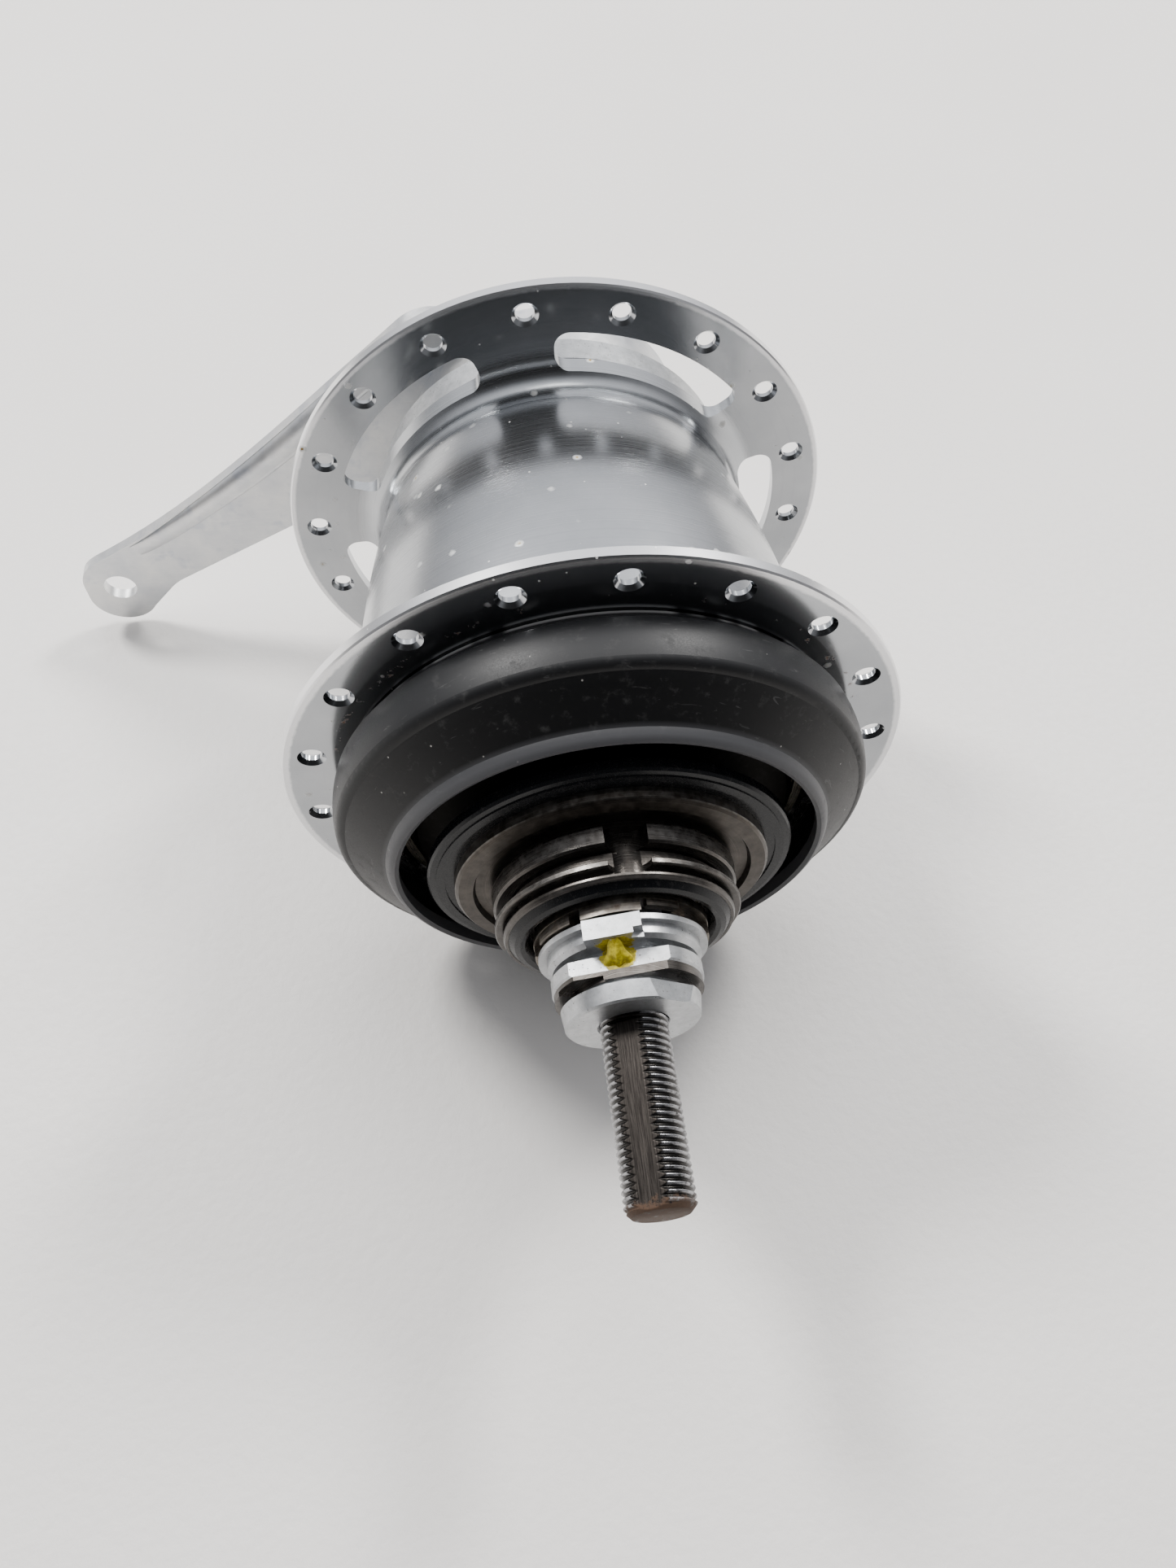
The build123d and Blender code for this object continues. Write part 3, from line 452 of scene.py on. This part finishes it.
def arm_zinc():
    """Satin pressed steel with soft bluish blotches, pale scuffs and faint drawing lines along the arm."""
    s = Surface("arm_zinc")
    cloud = s.noise(0.11, 5.0, 0.65)
    grain = s.noise(5.0, 4.0, 0.65)
    draw_place = s.node("ShaderNodeMapping")
    draw_place.inputs["Rotation"].default_value = (0.0, ARM_SLOPE, 0.0)
    draw_place.inputs["Scale"].default_value = (0.10, 1.0, 2.2)
    s.put(draw_place.inputs["Vector"], s.place)
    drawn = s.noise(1.0, 4.0, 0.65, draw_place.outputs[0])
    colour = s.mix(s.between(cloud, 0.35, 0.65), (0.56, 0.575, 0.60), (0.70, 0.70, 0.695))
    blue = s.between(s.noise(0.16, 3.0, 0.6), 0.58, 0.68)
    colour = s.mix(s.math("MULTIPLY", blue, 0.5), colour, (0.42, 0.45, 0.52))
    colour = s.mix(s.math("MULTIPLY", s.between(drawn, 0.56, 0.72), 0.35), colour, (0.78, 0.78, 0.78))
    rough = s.between(s.noise(0.5, 4.0, 0.6), 0.3, 0.7, 0.30, 0.42)
    return s.finish(colour, rough, 0.95, s.bump(grain, 0.010, 0.4))


FINISHES = (cast_alloy, black_plastic, black_rubber, axle_steel, zinc_steel, dark_steel, bronzed_steel,
            selector_steel, gear_steel, spring_steel, retainer_steel, shoe_bronze, ball_steel, arm_zinc)


# ---------------------------------------------------------------- meshes
def new_mesh(name, vertices, faces, sharp_angle=35.0):
    mesh = bpy.data.meshes.new(name)
    mesh.from_pydata(vertices, [], faces)
    mesh.update()
    mesh.shade_smooth()
    mesh.set_sharp_from_angle(angle=radians(sharp_angle))
    piece = bpy.data.objects.new(name, mesh)
    scene.collection.objects.link(piece)
    return piece


def lathe(name, rows, columns, radius_at, sharp_angle=35.0):
    """A closed turned piece: each row starts with its Y, and radius_at(row, angle) gives each radius."""
    angles = [2 * pi * i / columns for i in range(columns)]
    vertices = []
    for row in rows:
        for angle in angles:
            r = radius_at(row, angle)
            vertices.append((r * cos(angle), row[0], r * sin(angle)))
    faces = []
    for j in range(len(rows) - 1):
        for i in range(columns):
            k = (i + 1) % columns
            faces.append((j * columns + i, (j + 1) * columns + i, (j + 1) * columns + k, j * columns + k))
    first = len(vertices)
    vertices.append((0, rows[0][0], 0))
    vertices.append((0, rows[-1][0], 0))
    last_row = (len(rows) - 1) * columns
    for i in range(columns):
        k = (i + 1) % columns
        faces.append((first, i, k))
        faces.append((first + 1, last_row + k, last_row + i))
    return new_mesh(name, vertices, faces, sharp_angle)


# ---------------------------------------------------------------- axle with its rolled thread
AXLE_RADIUS = 9.525 / 2 * MM
THREAD_PITCH = 25.4 / 26 * MM
THREAD_DEPTH = 0.42 * MM
ROOT_WIDTH = 0.14                  # part of a half pitch that is the thread's rounded floor
FLANK_WIDTH = 0.70                 # part of a half pitch that is its slope
THREAD_COLUMNS = 144
ROWS_PER_PITCH = 12
FLAT_END = 0.6 * MM                # how far the flats stop short of each nut's outer face
END_CHAMFER = 0.9 * MM
THREAD_INSIDE = 3.0 * MM           # how far the thread goes on inside each nut
CORE_FROM, CORE_TO = 11.4 * MM, 117.8 * MM


def make_axle():
    """The whole axle with a helical thread on both stubs, cut by their two flats."""
    low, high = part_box("axle")
    lock_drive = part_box("drive_locknut")[0].y
    lock_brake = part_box("brake_arm_nut")[1].y
    core = high.x

    def thread(y, angle):
        turn = (y / THREAD_PITCH - angle / (2 * pi)) % 1.0
        ridge = abs(2 * turn - 1)
        ridge = min(max((ridge - ROOT_WIDTH) / FLANK_WIDTH, 0), 1)
        return AXLE_RADIUS - THREAD_DEPTH * (1 - ridge)

    def radius_at(row, angle):
        y, limit, threaded = row
        r = min(thread(y, angle), limit) if threaded else limit
        if y < lock_drive - FLAT_END or y > lock_brake + FLAT_END:
            reach = abs(cos(angle - FLAT_ANGLE))
            if r * reach > FLAT_DISTANCE:
                r = FLAT_DISTANCE / reach
        return r

    def stub(start, end):
        count = int(round(abs(end - start) / THREAD_PITCH * ROWS_PER_PITCH))
        rows = []
        for i in range(count + 1):
            y = start + (end - start) * i / count
            inset = min(y - low.y, high.y - y)
            limit = AXLE_RADIUS - max(0, END_CHAMFER - inset)
            rows.append((y, limit, True))
        return rows

    rows = stub(low.y, THREAD_INSIDE)
    rows += [(CORE_FROM, AXLE_RADIUS, False), (CORE_FROM, core, False)]
    rows += [(CORE_TO, core, False), (CORE_TO, AXLE_RADIUS, False)]
    rows += stub(lock_brake - THREAD_INSIDE, high.y)
    axle = lathe("threaded_axle", rows, THREAD_COLUMNS, radius_at, 50.0)
    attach(axle, "axle_set")
    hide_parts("axle")
    return axle


# ---------------------------------------------------------------- dab of setting paint, in millimetres
DAB_FOOT = (8.1, 5.9)              # radius and Y of its low end on the nut's flat
DAB_HEAD = (11.3, 8.15)            # and of its high end on the cone's key
DAB_CROWN, DAB_UNDERSIDE = 0.75, -0.15
DAB_POINT, DAB_SPREAD = 0.45, 1.65     # half widths at the head, and added to it at the foot
DAB_RIPPLE = 0.12
DAB_SAG = 0.275
DAB_COLUMNS, DAB_ROWS = 14, 12


def make_paint_dab():
    """A small blob of setting paint: a rounded wedge from the nut's flat up the front of the cone's key."""
    radial = Vector((cos(DAB_ANGLE), 0, sin(DAB_ANGLE)))
    side = Vector((-sin(DAB_ANGLE), 0, cos(DAB_ANGLE)))
    along = Vector((0, 1, 0))
    foot = radial * DAB_FOOT[0] + along * DAB_FOOT[1]
    head = radial * DAB_HEAD[0] + along * DAB_HEAD[1]
    outward = (radial - along).normalized()
    columns, rows = DAB_COLUMNS, DAB_ROWS
    vertices, faces = [], []
    for bulge in (DAB_CROWN, DAB_UNDERSIDE):
        for j in range(rows + 1):
            v = j / rows
            half_width = DAB_POINT + DAB_SPREAD * (1 - v) ** 0.8 + DAB_RIPPLE * sin(9 * v)
            for i in range(columns + 1):
                u = 2 * i / columns - 1
                height = bulge * (1 - u * u) * (0.35 + 0.65 * sin(pi * min(1, v + 0.1)))
                sag = -DAB_SAG * (1 - v) * (1 - abs(u)) * sin(2.5 * pi * (u + 1))
                point = foot.lerp(head, v) + side * (half_width * u) + outward * height
                vertices.append((point + along * sag) * MM)
    layer = (columns + 1) * (rows + 1)
    for j in range(rows):
        for i in range(columns):
            a = j * (columns + 1) + i
            b, c, d = a + 1, a + columns + 2, a + columns + 1
            faces.append((a, d, c, b))
            faces.append((layer + a, layer + b, layer + c, layer + d))
    loop = list(range(columns))
    loop += [j * (columns + 1) + columns for j in range(rows)]
    loop += [rows * (columns + 1) + i for i in range(columns, 0, -1)]
    loop += [j * (columns + 1) for j in range(rows, 0, -1)]
    for k, a in enumerate(loop):
        b = loop[(k + 1) % len(loop)]
        faces.append((a, b, layer + b, layer + a))
    dab = new_mesh("paint_dab", vertices, faces, 60.0)
    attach(dab, "axle_set")
    return dab


# ---------------------------------------------------------------- stage
def floor_material():
    """Warm pale tabletop with a faint pebbled skin."""
    s = Surface("floor")
    pebble = s.noise(0.55, 3.0, 0.5)
    cloud = s.noise(0.012, 3.0, 0.5)
    colour = s.mix(s.between(cloud, 0.3, 0.7), (0.775, 0.750, 0.725), (0.80, 0.78, 0.755))
    return s.finish(colour, s.between(pebble, 0.3, 0.7, 0.5, 0.62), 0.0, s.bump(pebble, 0.22, 0.5))


def make_stage():
    """A round floor under the shell's flanges, far larger than any view."""
    place = (0, AXLE_MIDDLE, cad_box[0][2])
    bpy.ops.mesh.primitive_circle_add(vertices=96, radius=3.0, fill_type="NGON", location=place)
    floor = bpy.context.object
    floor.name = "floor"
    floor.data.materials.append(floor_material())


def area_light(name, place, target, size, power, colour):
    data = bpy.data.lights.new(name, "AREA")
    data.shape = "DISK"
    data.size = size
    data.energy = power
    data.color = colour
    light = bpy.data.objects.new(name, data)
    light.location = place
    light.rotation_euler = (Vector(target) - Vector(place)).to_track_quat("-Z", "Y").to_euler()
    scene.collection.objects.link(light)


OVERHEAD = (0.03, 0.45, 0.87)
PERSON = (-0.05, -0.85, 0.55)


def make_room():
    """Pale room light, brightest overhead and behind the hub, dim where the photographer would be."""
    world = bpy.data.worlds.new("room")
    world.use_nodes = True
    tree = world.node_tree
    place = tree.nodes.new("ShaderNodeTexCoord")

    def lobe(direction, start, end, low, high):
        """Strength that goes from low to high as the way looked comes nearer to a direction."""
        dot = tree.nodes.new("ShaderNodeVectorMath")
        dot.operation = "DOT_PRODUCT"
        dot.inputs[1].default_value = Vector(direction).normalized()
        tree.links.new(place.outputs["Generated"], dot.inputs[0])
        ramp = tree.nodes.new("ShaderNodeMapRange")
        ramp.interpolation_type = "SMOOTHSTEP"
        tree.links.new(dot.outputs["Value"], ramp.inputs["Value"])
        for name, number in (("From Min", start), ("From Max", end), ("To Min", low), ("To Max", high)):
            ramp.inputs[name].default_value = number
        return ramp.outputs[0]

    def times(a, b):
        product = tree.nodes.new("ShaderNodeMath")
        product.operation = "MULTIPLY"
        tree.links.new(a, product.inputs[0])
        tree.links.new(b, product.inputs[1])
        return product.outputs[0]

    overhead = lobe(OVERHEAD, 0.1, 1.0, 0.27, 1.45)
    person = lobe(PERSON, 0.52, 0.95, 1.0, 0.12)
    background = tree.nodes["Background"]
    background.inputs["Color"].default_value = (0.95, 0.96, 1.0, 1)
    tree.links.new(times(overhead, person), background.inputs["Strength"])
    scene.world = world


# name, place, size, watts and colour of each lamp
LAMPS = (
    ("window_right", (0.75, 0.75, 1.05), 0.35, 18, (1.0, 0.985, 0.96)),
    ("window_left", (-0.70, 0.70, 1.05), 0.35, 22, (1.0, 0.985, 0.96)),
    ("ceiling", (0.05, 0.5, 1.5), 0.8, 6, (1.0, 0.985, 0.965)),
)


def make_lights():
    for name, place, size, power, colour in LAMPS:
        area_light(name, place, (0, AXLE_MIDDLE, 0), size, power, colour)


# ---------------------------------------------------------------- build
make_camera()
make_stage()
make_room()
make_lights()
finishes = {make.__name__: make() for make in FINISHES}
slots = {part["node"]: part["material_slot"] for part in frame["record"]["subparts"]}
for name, node in frame["nodes"].items():
    node.data.materials.clear()
    node.data.materials.append(finishes[slots[name]])
make_axle().data.materials.append(finishes["axle_steel"])
make_paint_dab().data.materials.append(finishes["zinc_steel"])
